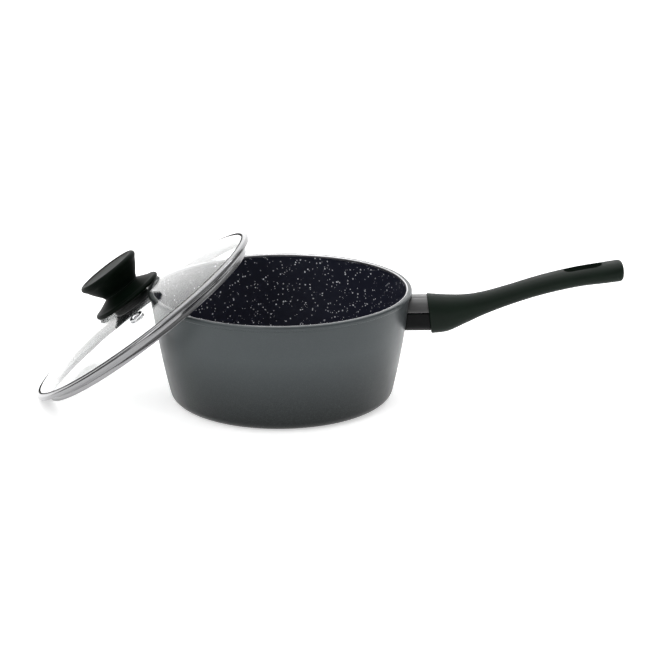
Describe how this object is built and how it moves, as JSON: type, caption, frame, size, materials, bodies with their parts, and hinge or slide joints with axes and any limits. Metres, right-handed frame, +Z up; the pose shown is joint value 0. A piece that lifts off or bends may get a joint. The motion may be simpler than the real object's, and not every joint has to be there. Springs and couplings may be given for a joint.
{
  "type": "saucepan with glass lid",
  "caption": "Round non-stick saucepan with one long moulded handle, and a domed glass lid with a knob that leans on its rim and lifts away.",
  "frame": {"origin": "centre of the pan's base, on the surface it stands on", "axes": "+Z up, +X from the pan's axis along the handle, +Y to the left of a person who looks along +X; the lid leans on the rim at -X"},
  "size_m": [0.4672, 0.2177, 0.1288],
  "materials": {
    "pan_lacquer": "dark grey metallic heat-proof lacquer on pressed aluminium, satin; near-black speckled non-stick inside, bare turned rim",
    "guard_lacquer": "grey metallic lacquer on pressed sheet, satin",
    "bare_aluminium": "turned, fine concentric marks",
    "steel": "satin stainless steel",
    "polished_steel": "bright polished stainless steel",
    "glass": "clear tempered glass",
    "soft_touch": "near-black moulded plastic with a fine soft-touch finish",
    "black_plastic": "black moulded plastic",
    "silicone": "black silicone",
    "brass": "turned brass"
  },
  "bodies": {
    "pan": {"pan_body": "pan_lacquer", "base_plate": "steel", "handle_stud": "bare_aluminium", "guard_upper": "guard_lacquer", "guard_lower": "guard_lacquer", "handle": "soft_touch", "handle_screw": "steel", "handle_washer": "steel"},
    "lid": {"lid_glass": "glass", "lid_band": "polished_steel", "vent_eyelet": "polished_steel", "vent_ring": "polished_steel", "knob_cap": "soft_touch", "knob_skirt": "soft_touch", "knob_insert": "brass", "knob_gasket": "silicone", "cup_gasket": "silicone", "cup": "black_plastic", "cup_washer": "steel", "knob_screw": "steel"}
  },
  "joints": [
    {"name": "lid_lift", "type": "slide", "parent": "pan", "child": "lid", "axis": [0, 0, 1], "range_m": [0, 0.15]}
  ]
}
